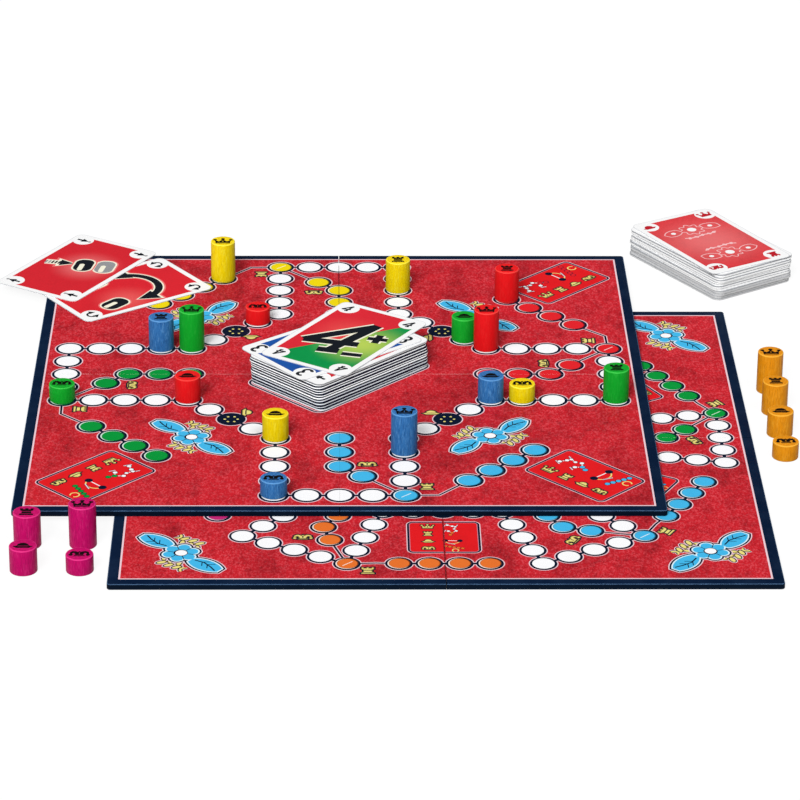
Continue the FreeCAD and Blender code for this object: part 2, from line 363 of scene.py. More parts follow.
woods = {  # each dye: colour, dark streaks, light streaks and pale rims (wear and painted highlight), and how streaky it is
    "yellow": ((248, 216, 4), (216, 176, 6), (255, 240, 70), 0.5),
    "red": ((238, 22, 27), (178, 10, 16), (250, 72, 66), 0.16),
    "green": ((14, 167, 42), (8, 112, 30), (62, 200, 76), 0.22),
    "blue": ((53, 116, 182), (24, 72, 132), (98, 156, 212), 0.6),
    "magenta": ((200, 4, 101), (132, 4, 66), (232, 54, 136), 0.42),
    "orange": ((232, 146, 15), (174, 94, 10), (248, 180, 60), 0.42),
}
stampDye = ((13, 11, 12), (6, 5, 5), (34, 27, 25), 0.5)
woodLook = (0.8, 0.5, 0.35, 0.15)  # how pale the rims are (wear and painted highlight), roughness, relief and gloss
stampLook = (0, 0.6, 0.3, 0.1)
edges = {  # colour, pale rim colour (wear and painted highlight), how strong the rim is, roughness, relief and gloss
    "navyWrap": ((6, 26, 54), (72, 102, 136), 0.85, 0.6, 0.35, 0.06),
    # the wrap's standing sides: the same paper made darker, painted shade on the unlit sides
    "navyShadedSide": ((2, 15, 32), (30, 54, 86), 0.5, 0.6, 0.35, 0.06),
    "greyboard": ((128, 122, 112), (168, 162, 150), 0.3, 0.9, 0.8, 0.2),
    "cutPaper": ((244, 242, 238), (206, 204, 200), 0.5, 0.8, 0.5, 0.2),
}


def dye(name, tones, look):
    rim, *surface = look
    finish(name, woodGroup, {**dict(zip(("Base", "Dark", "Light", "Streaks"), tones)), "Rim": rim}, *surface)


def makeFinishes():
    for name, (colour, patches, flecks) in inks.items():
        mixInk(name, colour, inkLook, patches, flecks, more=boardTones if name == "boardRed" else None)
    for name, colour in cardInks.items():
        patches, more = cardPatches.get(name, cardInkLook["patches"]), {}
        if name in cardGlows:
            node, (x, y), reach, glow, strength = cardGlows[name]
            centre = placeOfCard(node) @ Vector((x * mm, y * mm, 0))
            more = {"Centre": centre, "Reach": reach * mm, "Glow": glow, "Glowing": strength}
        flecks = patches * cardInkLook["flecksPerPatch"]
        mixInk(name, colour, cardInkLook, patches, flecks, paintedPileGlows.get(name, 0), more)
    for name, tones in woods.items():
        dye(f"wood_{name}", tones, woodLook)
    dye("stampInk", stampDye, stampLook)
    for name, (colour, wornAndLit, amount, *surface) in edges.items():
        finish(name, edgeGroup, {"Base": colour, "WornAndLit": wornAndLit, "Amount": amount}, *surface)


# Flat drawing: outlines are lists of points, and a drawing is a list of (ink, outline), later ones on top
def polar(radius, angle):
    return radius * cos(radians(angle)), radius * sin(radians(angle))


def around(x, y, radius, angles):
    return [(x + radius * cos(a), y + radius * sin(a)) for a in angles]


def circle(x, y, radius, sides=30):
    return around(x, y, radius, [2 * pi * n / sides for n in range(sides)])


def arc(x, y, radius, first, last, steps=14):
    return around(x, y, radius, [radians(first + (last - first) * n / steps) for n in range(steps + 1)])


def moved(outline, x=0, y=0, turn=0, scale=1):
    c, s = scale * cos(radians(turn)), scale * sin(radians(turn))
    return [(x + c * px - s * py, y + s * px + c * py) for px, py in outline]


def turned(point, turn, x=0, y=0):
    return moved([point], x, y, turn)[0]


def mirrored(half):
    return [(-x, y) for x, y in half[::-1]]


def square(half):
    return [(-half, -half), (half, -half), (half, half), (-half, half)]


def row(start, step, numbers):
    return [(start[0] + step[0] * n, start[1] + step[1] * n) for n in numbers]


def roundedBox(width, depth, corner, steps=6):
    points = []
    for number in range(4):
        x = (width / 2 - corner) * (1 if number in (0, 3) else -1)
        y = (depth / 2 - corner) * (1 if number < 2 else -1)
        points += around(x, y, corner, [pi / 2 * (number + step / steps) for step in range(steps + 1)])
    return points


mitreLimit, samePlace = 0.5, 1e-4  # how sharp a mitre gets, how close two corners are to be one


def beside(path, by, closed=False):  # the path moved to its left, its corners mitred
    result = []
    for n, point in enumerate(path):
        here = Vector(point)
        sides = []
        if closed or n > 0:
            sides.append((here - Vector(path[n - 1])).orthogonal().normalized())
        if closed or n < len(path) - 1:
            sides.append((Vector(path[(n + 1) % len(path)]) - here).orthogonal().normalized())
        mitre = (sides[0] + sides[-1]) / max(1 + sides[0].dot(sides[-1]), mitreLimit)
        result.append(tuple(here + by * mitre))
    return result


def anticlockwise(outline):
    area = sum(a[0] * b[1] - a[1] * b[0] for a, b in zip(outline, outline[1:] + outline[:1]))
    return outline if area > 0 else outline[::-1]


def grown(outline, by):  # the outline moved outwards
    return beside(anticlockwise(outline), -by, closed=True)


def band(path, width):
    return beside(path, -width / 2) + beside(path, width / 2)[::-1]


def paint(drawing, ink, outline, *place):  # a place is x, y, turn and scale
    drawing.append((ink, moved(outline, *place)))


def paintStrokes(drawing, ink, paths, width, *place):
    for path in paths:
        paint(drawing, ink, band(path, width), *place)


def paintRims(drawing, rims, outlines, *place):  # a rim is an ink and how far it reaches past the outlines
    for ink, by in rims:
        for outline in outlines:
            paint(drawing, ink, grown(outline, by), *place)


def paintFrame(drawing, look, size, *place):  # rounded boxes, one rim inside the other
    for ink, by in look["rims"]:
        paint(drawing, ink, roundedBox(size[0] + 2 * by, size[1] + 2 * by, look["corner"] + by), *place)


# Small marks of the four kinds of piece, about 10 wide, around their own middle
crownMark = [(-4.6, -3.6), (4.6, -3.6), (5.3, 1.9), (2.6, -0.1), (0, 3.2), (-2.6, -0.1), (-5.3, 1.9)]
towerHalf = [(4.1, -4.3), (4.1, -2.9), (2.9, -2.1), (2.7, 0.9), (3.9, 1.7), (3.9, 4.3), (2.2, 4.3),
             (2.2, 3.1), (0.9, 3.1), (0.9, 4.3)]
hatBrim = [(-6, -1.4), (-3.4, -3.5), (3.4, -3.5), (6, -1.4), (3.5, -0.7)]
capHalf = [(3.1, -3.7), (3.1, -2.4), (2.2, -1.6), (3.1, 0.4), (4.1, 0), (4.2, -1.3), (5.6, -1.1), (5.5, 1.2),
           (4.1, 2.6), (2.4, 2.7), (0.9, 1.6)]
marks = {
    "crown": [crownMark, circle(5.2, 2.6, 1.3, 12), circle(0, 3.9, 1.4, 12), circle(-5.2, 2.6, 1.3, 12)],
    "tower": [towerHalf + mirrored(towerHalf)],
    "hat": [hatBrim + arc(0, -0.6, 3.5, 5, 175) + [(-3.5, -0.7)]],
    "cap": [capHalf + [(0, 2.7)] + mirrored(capHalf)] + [circle(x, -1.9, 1.3, 12) for x in (4.9, -4.9)],
}
markLines = {
    "crown": [[(-3.8, -2.4), (3.8, -2.4)], [(0, -1.3), (0, 1.2)]],
    "tower": [[(-2.6, 0.4), (2.6, 0.4)], [(-2.9, -2.4), (2.9, -2.4)]],
    "hat": [[(-3, -1.1), (3, -1.1)]],
    "cap": [[(-2.9, -2.6), (2.9, -2.6)], [(0, -1.4), (0, 0.9)]],
}
markLook = {"rims": (("inkNavy", 0.8), ("strawDark", -0.05), ("straw", -0.55)), "line": 0.85, "scale": 0.9}


def drawMark(drawing, kind, x, y, turn, scale=markLook["scale"]):
    paintRims(drawing, markLook["rims"], marks[kind], x, y, turn, scale)
    paintStrokes(drawing, "inkNavy", markLines[kind], markLook["line"], x, y, turn, scale)


# Board print
sheetLook = {"edgeLine": 1.0, "foldGap": 0.03, "slitGap": 0.14, "slitShade": 1.1}
slitSide = {"upper_board": "back", "lower_board": "front"}
fieldLook = {"outline": 9, "ring": 8.35, "disc": 6.8, "shade": 6.5, "body": 6.05, "shift": (-0.1, 0.25),
             "bodyShift": 0.6, "gleamLine": 0.6, "gleamEnds": ((-2.4, -2.2), (3, 2.8))}
joinLook = {"ring": 3.7, "dots": 6, "dot": 0.8}
linkLook = {"fields": (3.1, 2), "line": (2.3, 1.2)}
trackLook = {"wide": 2, "sideFields": 4, "joins": 3, "waiting": 4}  # how many fields each part of an arm has
upperTrack = {
    "arms": 4, "step": 18.24, "reach": 161, "joinStep": (12.9, 12.9), "sideStep": (0, 18.24),
    "home": ((12.9, -137), (0, -124.3), (0, -106), (0, -87.8)),
    "wait": (72, -142.35), "waitStep": (12.85, 13), "waitBend": (55, -160.6),
    "marks": (("tower", 48.5, -150, 0), ("cap", 15.5, -121, 0), ("hat", 53, -53, 0)),
    "inks": ("skyBlue", "cherry", "sun", "leaf"), "firstTurn": 0, "fieldScale": 1, "gleam": (0.5, -0.2),
}
lowerTrack = {
    "arms": 6, "step": 16.3, "reach": 161.8, "joinStep": (14.3, 8.25), "sideStep": (-3.4, 15.84),
    "home": ((10.7, -142.2), (0, -130.6), (0, -115), (0, -99)),
    "wait": (56.6, -147.7), "waitStep": (14.1, 8.14), "waitBend": (46, -153),
    "marks": (("tower", 46.1, -163, 30), ("cap", -4, -146, 30)),
    "inks": ("tangerine", "skyBlue", "leaf", "cherry", "sun", "berry"), "firstTurn": -30, "fieldScale": 0.89,
    "gleam": (0.5, 0.25),
}
ornamentLook = {"upper_board": (86, -84.5), "lower_board": (143.5, -142)}
panelLook = {
    "upper_board": {
        "place": (137, -136), "size": (59.3, 39.2), "turn": -45, "scale": 1, "mark": 0.78, "markTurn": 0,
    },
    "lower_board": {
        "place": (62.6, -108.4), "size": (38, 40.6), "turn": -60, "scale": 0.66, "mark": 0.6, "markTurn": 90,
    },
    "rims": (("lineWhite", 0), ("inkNavy", -0.5), ("lineMauve", -1.6), ("panelRed", -1.95)), "corner": 4,
    "markRow": -8.6, "firstMark": -19.2, "markStep": 12.8,
}
slotLook = {"size": (61.8, 95.2), "corner": 6, "turn": 45,
            "rims": (("lineWhite", 0.6), ("inkNavy", 0), ("lineWhite", -1.3), ("boardRed", -1.9))}


def armTurns(track):
    return [track["firstTurn"] + arm * 360 / track["arms"] for arm in range(track["arms"])]


def loopOfArm(track):  # fields of one arm in order, the arm pointing to the front
    corner = (trackLook["wide"] * track["step"], -track["reach"])
    inwards = row(corner, track["sideStep"], range(1, trackLook["sideFields"] + 1))
    outer = row(corner, (-track["step"], 0), range(2 * trackLook["wide"] + 1))
    joining = row(inwards[-1], track["joinStep"], range(1, trackLook["joins"] + 1))
    return mirrored(inwards) + outer[::-1] + inwards + joining


def drawField(drawing, x, y, ink, scale, gleam=(0, 0)):
    paint(drawing, "inkNavy", circle(x, y, fieldLook["ring"] * scale))
    x, y = x + fieldLook["shift"][0] * scale, y + fieldLook["shift"][1] * scale
    discs = ((f"{ink}Gleam", "disc", 0), (f"{ink}Shade", "shade", 1), (ink, "body", fieldLook["bodyShift"]))
    for name, radius, share in ((ink, "disc", 0),) if ink == "fieldWhite" else discs:
        centre = (x + gleam[0] * share * scale, y + gleam[1] * share * scale)
        paint(drawing, name, circle(*centre, fieldLook[radius] * scale))


def drawJoin(drawing, x, y, scale):  # the dark field where two arms meet, with a ring of small dots
    paint(drawing, "inkNavy", circle(x, y, fieldLook["ring"] * scale))
    for dotX, dotY in circle(x, y, joinLook["ring"] * scale, joinLook["dots"]):
        paint(drawing, "straw", circle(dotX, dotY, joinLook["dot"] * scale, 8))


def drawTrack(drawing, track):
    arms, navy = [], []
    scale = track["fieldScale"]
    for turn in armTurns(track):
        loop = moved(loopOfArm(track), turn=turn)
        start = loop[trackLook["sideFields"] + 2 * trackLook["wide"]]
        wait = [track["waitBend"]] + row(track["wait"], track["waitStep"], range(trackLook["waiting"]))
        arms.append((loop, [start] + moved(track["home"], turn=turn), [start] + moved(wait, turn=turn)))

    def link(path, look):  # the pale band at once, the navy one over all the pale ones
        pale, dark = linkLook[look]
        paint(drawing, "lineWhite", band(path, pale))
        paint(navy, "inkNavy", band(path, dark))

    ring = [point for loop, _, _ in arms for point in loop]
    for x, y in ring + [point for _, home, wait in arms for point in home + wait[2:]]:
        paint(drawing, "lineWhite", circle(x, y, fieldLook["outline"] * scale))
    for pair in zip(ring, ring[1:] + ring[:1]):
        link(pair, "fields")
    for _, home, wait in arms:
        for path in (home[:2], wait[:3]):
            link(path, "line")
        for path in (home[1:], wait[2:]):
            link(path, "fields")
    drawing += navy
    for (loop, home, wait), ink in zip(arms, track["inks"]):
        for n, (x, y) in enumerate(loop):
            if n == len(loop) - 2:  # the middle of the joining fields
                drawJoin(drawing, x, y, scale)
            elif (x, y) != home[0]:
                drawField(drawing, x, y, "fieldWhite", scale)
        for x, y in home + wait[2:]:
            drawField(drawing, x, y, ink, scale, track["gleam"])
        streak = moved(fieldLook["gleamEnds"], *home[0])
        paint(drawing, f"{ink}Gleam", band(streak, fieldLook["gleamLine"]))
    for turn in armTurns(track):
        for kind, markX, markY, lean in track["marks"]:
            drawMark(drawing, kind, *turned((markX, markY), turn), turn + lean)


def drawLeafSpray(drawing, *place):  # a pale twig that curls at both ends, with short round leaves
    middle = [(-5, 0.4), (0, 1.2), (5, 0.4)]
    twig = arc(-10.6, 2.6, 2.4, 80, -90, 7) + middle + arc(10.8, 2.6, 2.6, -90, 110, 8)
    leaf = [(2.7 + 2.7 * cos(a), 1.25 * sin(a)) for a in [pi / 6 * n for n in range(12)]]
    leaves = [moved(leaf, *spot) for spot in (
        (-6.6, 0.3, 62), (-4.6, 0.4, -62), (-1.6, 1, 62), (0.6, 1.2, -62), (3.4, 0.8, 60), (5.6, 0.3, -60))]
    for by, ink in ((1.3, "lineWhite"), (0.8, "inkNavy"), (0.1, "straw")):
        paint(drawing, ink, band(twig, 1.1 + 2 * by), *place)
        paintRims(drawing, [(ink, by - 0.1)], leaves, *place)
    paint(drawing, "strawDark", band([(-7, 0.4), (-3, 0.7), (0, 1.2), (3, 0.9), (7, 0.2)], 0.45), *place)


def drawOrnament(drawing, x, y, turn):  # flower between two leaves, a twig on either side
    for point, lean in (((-5, 11), 8), ((5, -11), 188)):
        drawLeafSpray(drawing, *turned(point, turn, x, y), turn + lean)
    petals = [circle(*polar(6.4, angle), 4, 16) for angle in range(0, 360, 60)]
    leaf = arc(0, -11, 17.2, 52, 128, 10) + arc(0, 11, 17.2, 232, 308, 10)
    leaves = [moved(leaf, -19.6, 0.6, 8), moved(leaf, 19.6, -0.6, 8)]
    rims = (("lineWhite", 1.7), ("inkNavy", 1.1), ("skyBlueGleam", 0.1), ("skyBlue", -0.7))
    paintRims(drawing, rims, leaves + petals, x, y, turn)
    for side in (-1, 1):
        vein = [(side * along, side * up) for along, up in ((11.5, -0.4), (17, 1.2), (23, 0.2), (28, -1.4))]
        ribs = [[(side * start, 0.8 * side), (side * (start + 3), side * (0.8 + 3.2 * bend))]
                for start, bend in ((16, 1), (20, 1), (16, -1), (20, -1))]
        paintStrokes(drawing, "inkNavy", [vein], 0.9, x, y, turn)
        paintStrokes(drawing, "inkNavy", ribs, 0.55, x, y, turn)
    seams = [[polar(3, angle), polar(8, angle)] for angle in range(30, 390, 60)]
    paintStrokes(drawing, "inkNavy", seams, 0.5, x, y, turn)
    paint(drawing, "inkNavy", circle(0, 0, 3.9, 20), x, y, turn)
    paint(drawing, "fieldWhite", circle(0.2, 0.2, 3.2, 20), x, y, turn)


def drawPanel(drawing, look, x, y, turn, ink):
    paintFrame(drawing, panelLook, look["size"], x, y, turn)
    place = (x, y, turn, look["scale"])
    for n, kind in enumerate(kinds):
        across = (panelLook["firstMark"] + panelLook["markStep"] * n) * look["scale"]
        spot = turned((across, panelLook["markRow"]), turn, x, y)
        drawMark(drawing, kind, *spot, turn + look["markTurn"], look["mark"])
    paintStrokes(drawing, "straw", (arc(5, 7, 6.5, -60, 60, 8), arc(23.5, 9, 2.6, 30, 330, 10)), 0.8, *place)
    bars = ((-24.5, 3), (-20, 1)), ((-22.5, 12), (-18, 10)), ((-13, 2), (-9.5, 0.5)), ((10.5, 3), (13, 9))
    for bar in bars:
        for colour, width in (("inkNavy", 1.5), ("lineWhite", 0.8)):
            paint(drawing, colour, band(bar, width), *place)
    chains = (  # small dots joined by a line: points, ink and size
        ([(-22, 3.5), (-20, 7.5)], "fieldWhite", 1.3), ([(-19, 10), (-15, 9)], "fieldWhite", 1.1),
        ([(-11, 4), (-8, 7), (-11.5, 10.5)], "fieldWhite", 1.3), ([(-4.5, 5.5), (-8, 7)], ink, 1.5),
        ([(6, 1), (6.5, 13)], "inkNavy", 2), (row((16, 1), (1, 3.5), range(5)), ink, 1.5),
    )
    for points, colour, size in chains:
        paint(drawing, "fieldWhite", band(points, 0.7), *place)
        for dotX, dotY in points:
            paint(drawing, "inkNavy", circle(dotX, dotY, size + 0.4, 12), *place)
            paint(drawing, colour, circle(dotX, dotY, size, 12), *place)


creaseLook = {"length": (5, 16), "swell": (0.16, 0.28), "end": 0.08, "middle": (0.3, 0.7), "skip": (-1, 1.5),
              "seeds": {"upper_board": 3, "lower_board": 8}}


def drawCreaseWear(drawing, half, seed):  # a broken pale line where the print folds outwards
    chance = Random(seed)
    least, most = creaseLook["swell"]
    end = creaseLook["end"]
    x = -half
    while x < half:
        length = chance.uniform(*creaseLook["length"])
        low, high = chance.uniform(-most, -least), chance.uniform(least, most)
        middle = x + length * chance.uniform(*creaseLook["middle"])
        paint(drawing, "creaseWorn", [(x, -end), (middle, low), (x + length, -end), (x + length, end),
                                      (middle, high), (x, end)])
        x += length + chance.uniform(*creaseLook["skip"])


def drawBoard(board):
    track = upperTrack if board == "upper_board" else lowerTrack
    size = (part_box(f"{board}_back_right_print")[1].x - boardCentre(board).x) / mm
    drawing = [("lineWhite", square(size)), ("boardRed", square(size - sheetLook["edgeLine"]))]
    paintFrame(drawing, slotLook, slotLook["size"], 0, 0, -slotLook["turn"])
    panel = panelLook[board]
    for ink, turn in zip(track["inks"], armTurns(track)):
        drawPanel(drawing, panel, *turned(panel["place"], turn), turn + panel["turn"], ink)
    drawCreaseWear(drawing, size, creaseLook["seeds"][board])
    slitEnd = (0, -size if slitSide[board] == "front" else size)
    paint(drawing, "slitShade", band([(0, 0), slitEnd], sheetLook["slitShade"]))
    drawTrack(drawing, track)
    for turn in range(0, 360, 90):
        drawOrnament(drawing, *turned(ornamentLook[board], turn), 45 + turn)
    return drawing, size


# Making meshes
def switch(mode):
    bpy.ops.object.mode_set(mode=mode)


def pick(*objects):  # the only selected objects, the first of them active
    bpy.ops.object.select_all(action="DESELECT")
    for obj in objects:
        obj.select_set(True)
    bpy.context.view_layer.objects.active = objects[0]


def addObject(name, mesh):
    obj = bpy.data.objects.new(name, mesh)
    scene.collection.objects.link(obj)
    return obj


def boxOf(outline):
    xs, ys = zip(*outline)
    return min(xs), min(ys), max(xs), max(ys)


def touches(first, second):
    return first[0] < second[2] and second[0] < first[2] and first[1] < second[3] and second[1] < first[3]


def paintedFace(name, ground, drawing):  # flat mesh inside the ground outline, one material per ink
    reach = boxOf(ground[1])
    shapes = [ground] + [shape for shape in drawing if touches(boxOf(shape[1]), reach)]
    points, outlines = [], []
    for ink, outline in shapes:
        outlines.append(list(range(len(points), len(points) + len(outline))))
        points += [Vector(p) for p in anticlockwise(outline)]
    corners, _, faces, _, _, owners = delaunay_2d_cdt(points, [], outlines, 1, samePlace)
    kept = [(face, shapes[max(inside)][0]) for face, inside in zip(faces, owners) if 0 in inside]
    mesh = bpy.data.meshes.new(name)
    mesh.from_pydata([(p.x * mm, p.y * mm, 0) for p in corners], [], [face for face, _ in kept])
    used = sorted({ink for _, ink in kept})
    for ink in used:
        mesh.materials.append(materials[ink])
    for polygon, (_, ink) in zip(mesh.polygons, kept):
        polygon.material_index = used.index(ink)
    obj = addObject(name, mesh)
    pick(obj)
    switch("EDIT")
    bpy.ops.mesh.select_all(action="SELECT")
    bpy.ops.mesh.delete_loose()
    switch("OBJECT")
    return obj


def deselectEdges():
    bpy.ops.mesh.select_all(action="DESELECT")
    bpy.ops.mesh.select_mode(type="EDGE")


def selectRim():
    deselectEdges()
    bpy.ops.mesh.select_non_manifold(extend=False, use_wire=False, use_multi_face=False,
                                     use_non_contiguous=False, use_verts=False)


def thicken(obj, depth, edgeMaterial):  # walls down from the rim of a flat face, and a plain underside
    pick(obj)
    painted = len(obj.data.polygons)
    switch("EDIT")
    selectRim()
    bpy.ops.mesh.extrude_edges_move(TRANSFORM_OT_translate={"value": (0, 0, -depth)})
    bpy.ops.mesh.edge_face_add()
    switch("OBJECT")
    obj.data.materials.append(materials[edgeMaterial])
    for polygon in obj.data.polygons[painted:]:
        polygon.material_index = len(obj.data.materials) - 1


def settle(obj, place):  # into the frame, with the object itself at the origin
    obj.data.transform(place)
    obj.data.update()


def markWornLitRims(obj, least, most):  # on the faces that lean between standing and lying, for the pale rims of wear and painted highlight
    leans = [abs(polygon.normal.z) for polygon in obj.data.polygons]
    wornAndLit = obj.data.attributes.new("wornAndLitRim", "FLOAT", "FACE")
    wornAndLit.data.foreach_set("value", [1 if least < lean < most else 0 for lean in leans])


# Boards
def quarterOutline(board, quarter, size):
    signX = 1 if quarter.endswith("right") else -1
    signY = 1 if quarter.startswith("back") else -1
    fold = sheetLook["foldGap"]
    slit = sheetLook["slitGap"] if quarter.startswith(slitSide[board]) else fold
    return [(signX * x, signY * y) for x, y in ((slit, fold), (size, fold), (size, size), (slit, size))]


def printBoard(board):
    drawing, size = drawBoard(board)
    centre = boardCentre(board)
    for quarter in quarters:
        node = f"{board}_{quarter}_print"
        body = nodes[node]["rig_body"]
        ground = ("boardRed", quarterOutline(board, quarter, size))
        sheet = paintedFace(f"{board}_{quarter}_printed", ground, drawing)
        low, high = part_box(node)
        thicken(sheet, high.z - low.z, "cutPaper")
        settle(sheet, Matrix.Translation((centre.x, centre.y, high.z)))
        sheet.visible_diffuse = False  # a red print would tint all that stands on it
        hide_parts(node)
        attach(sheet, body)


wrapLook = {"edge": 0.45, "segments": 3, "weld": 0.002, "flatTurn": 0.5, "level": 0.01, "rimWidth": 2.1,
            "edgeWidth": 0.65, "wornAndLitRim": (0.15, 0.98), "standing": 0.3, "smooth": 35}


def wrapQuarter(board, quarter):  # the wrapping paper with its outer edges rolled
    node = f"{board}_{quarter}_wrap"
    source = nodes[node]
    low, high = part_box(node)
    centre = boardCentre(board)
    half = max(high.x - centre.x, centre.x - low.x)
    level = wrapLook["level"] * mm
    wrap = addObject(f"{node}ped", source.data.copy())
    pick(wrap)
    switch("EDIT")
    bpy.ops.mesh.select_all(action="SELECT")
    bpy.ops.mesh.remove_doubles(threshold=wrapLook["weld"] * mm)
    bpy.ops.mesh.dissolve_limited(angle_limit=radians(wrapLook["flatTurn"]))
    deselectEdges()
    switch("OBJECT")

    def outside(point, width):  # whether it lies in the board's outermost band
        return max(abs(point.x - centre.x), abs(point.y - centre.y)) > half - width * mm

    def onRim(point):
        flat = min(abs(point.z - low.z), abs(point.z - high.z)) < level
        return flat and outside(point, wrapLook["rimWidth"])

    for edge in wrap.data.edges:
        a, b = (wrap.data.vertices[v].co for v in edge.vertices)
        outer = outside((a + b) / 2, wrapLook["edgeWidth"])
        edge.select = onRim(a) and onRim(b) and abs(a.z - b.z) < level and outer
    switch("EDIT")
    bpy.ops.mesh.bevel(offset=wrapLook["edge"] * mm, segments=wrapLook["segments"], affect="EDGES")
    switch("OBJECT")
    markWornLitRims(wrap, *wrapLook["wornAndLitRim"])
    wrap.data.materials.clear()
    for name in ("navyWrap", "navyShadedSide"):
        wrap.data.materials.append(materials[name])
    # standing faces take the darker navy: painted shade
    for polygon in wrap.data.polygons:
        polygon.material_index = int(abs(polygon.normal.z) < wrapLook["standing"])
    bpy.ops.object.shade_smooth_by_angle(angle=radians(wrapLook["smooth"]))
    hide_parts(node)
    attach(wrap, source["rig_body"])


def finishPlainNodes():  # greyboard and crease strips keep their own shape
    for name, node in nodes.items():
        if name.endswith("_core") or "_crease" in name:
            for slot in node.material_slots:
                slot.material = materials["greyboard" if name.endswith("_core") else "navyWrap"]


# Wooden pieces
pawnLook = {"rounding": 0.55, "steps": 4, "sides": 72, "stamp": 0.93, "line": 0.36, "wornAndLitRim": (0.12, 0.985),
            "smooth": 30}


def turnPiece(kind, radius, height):  # one piece of each kind, its foot at the origin
    rounding, steps, stamp = pawnLook["rounding"], pawnLook["steps"], pawnLook["stamp"]
    _, low, _, high = boxOf([point for outline in marks[kind] for point in outline])
    place = (0, -stamp * (low + high) / 2, 0, stamp)
    drawing = []
    for outline in marks[kind]:
        paint(drawing, "stampInk", outline, *place)
    paintStrokes(drawing, "wood_yellow", markLines[kind], pawnLook["line"], *place)
    size, depth = radius / mm - rounding, 0
    piece = paintedFace(f"{kind}Pattern", ("wood_yellow", circle(0, 0, size, pawnLook["sides"])), drawing)
    switch("EDIT")
    selectRim()
    angles = [pi / 2 * n / steps for n in range(1, steps + 1)]
    rings = [(size + rounding * sin(a), rounding * (1 - cos(a))) for a in angles]
    rings += [(ringRadius, height / mm - drop) for ringRadius, drop in rings[::-1]]
    rings.append((size, height / mm))
    for ringRadius, ringDepth in rings:
        bpy.ops.mesh.extrude_edges_move(TRANSFORM_OT_translate={"value": (0, 0, -(ringDepth - depth) * mm)})
        grow = ringRadius / size
        bpy.ops.transform.resize(value=(grow, grow, 1), center_override=(0, 0, 0))
        size, depth = ringRadius, ringDepth
    bpy.ops.mesh.edge_face_add()
    switch("OBJECT")
    markWornLitRims(piece, *pawnLook["wornAndLitRim"])
    bpy.ops.object.shade_smooth_by_angle(angle=radians(pawnLook["smooth"]))
    settle(piece, Matrix.Translation((0, 0, height)))
    return piece


def turnPieces():
    for kind in kinds:
        low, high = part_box(f"pawn_yellow_{kind}")
        pattern = turnPiece(kind, (high.x - low.x) / 2, high.z - low.z)
        for colour in woods:
            node = f"pawn_{colour}_{kind}"
            low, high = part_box(node)
            piece = addObject(f"{node}_turned", pattern.data.copy())
            for number, material in enumerate(pattern.data.materials):
                if material == materials["wood_yellow"]:
                    piece.data.materials[number] = materials[f"wood_{colour}"]
            settle(piece, Matrix.Translation(((low.x + high.x) / 2, (low.y + high.y) / 2, low.z)))
            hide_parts(node)
            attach(piece, node)
        bpy.data.objects.remove(pattern)


# Cards
cardLook = {"corner": 4.5, "rim": 0.3, "border": 3.6, "fieldCorner": 0.8, "spot": 8.3, "spotSize": 6.7}
fourStrokes = [[(-20, -14), (12, -3.6)], [(-20, -14), (7, 24)], [(7.2, 25.5), (1.2, -20)],
               [(-5.4, -21.6), (7.2, -17.6)]]
threeStrokes = [arc(0, 6.2, 5.8, 150, -88), arc(0, -6.4, 6.8, 88, -150)]
signStrokes = [[(11.6, 7.2), (23, 11)], [(18.6, 3.4), (16, 14.8)], [(10.5, -19.5), (22, -15.7)]]


def cardOutline(inset, steps=8, corner=None):
    corner = cardLook["corner"] - inset if corner is None else corner
    return roundedBox(cardWidth - 2 * inset, cardLength - 2 * inset, corner, steps)


def cardField(ink):
    field = cardOutline(cardLook["border"], 2, cardLook["fieldCorner"])
    return [("cardWhite", cardOutline(cardLook["rim"])), (ink, field)]


def drawSpots(drawing, scale, *smalls):  # in each corner a white spot with small shapes: ink and outline
    corners = ((1, 1), (1, -1), (-1, 1), (-1, -1))
    for (signX, signY), small in zip(corners, smalls if len(smalls) > 1 else smalls * 4):
        x, y = signX * (cardWidth / 2 - cardLook["spot"]), signY * (cardLength / 2 - cardLook["spot"])
        paint(drawing, "cardWhite", circle(x, y, cardLook["spotSize"], 36))
        for ink, outline in small:
            paint(drawing, ink, outline, x, y, 0 if signY > 0 else 180, scale)
    return drawing


def drawNumberFour():
    x, y = cardWidth / 2 - cardLook["border"], cardLength / 2 - cardLook["border"]
    drawing = cardField("cardRed")
    paint(drawing, "cardGreen", [(-x, -y), (x, -y), (x, y)])
    for ink, more in (("cardGlow", 2.6), ("cardBlack", 0)):
        paintStrokes(drawing, ink, fourStrokes, 6.6 + more)
        paintStrokes(drawing, ink, signStrokes, 4.4 + more)
    return drawSpots(drawing, 0.17, [("cardBlack", band(path, 8)) for path in fourStrokes])


def drawNumberThree():
    drawing = cardField("cardBlue")
    for ink, width in (("cardGlow", 8), ("cardBlack", 5.4)):
        paintStrokes(drawing, ink, threeStrokes, width, 0, 0, 0, 1.4)
    return drawSpots(drawing, 0.38, [("cardBlack", band(path, 5)) for path in threeStrokes])


def arrowHead(x, y, turn, size):
    return moved([(-0.9, -0.9), (0.9, 0), (-0.9, 0.9)], x, y, turn, size)


def drawSilhouette(drawing, ink, x, y, turn):  # a piece seen from the side, with its foot open
    body = roundedBox(11.5, 18, 5)
    paintRims(drawing, (("cardHalo", 2), ("cardGlow", 1.1)), [body], x, y, turn)
    paint(drawing, ink, body, x, y, turn)
    paint(drawing, "cardGlow", roundedBox(3.2, 10.5, 1.5), x, y - 3.2, turn)


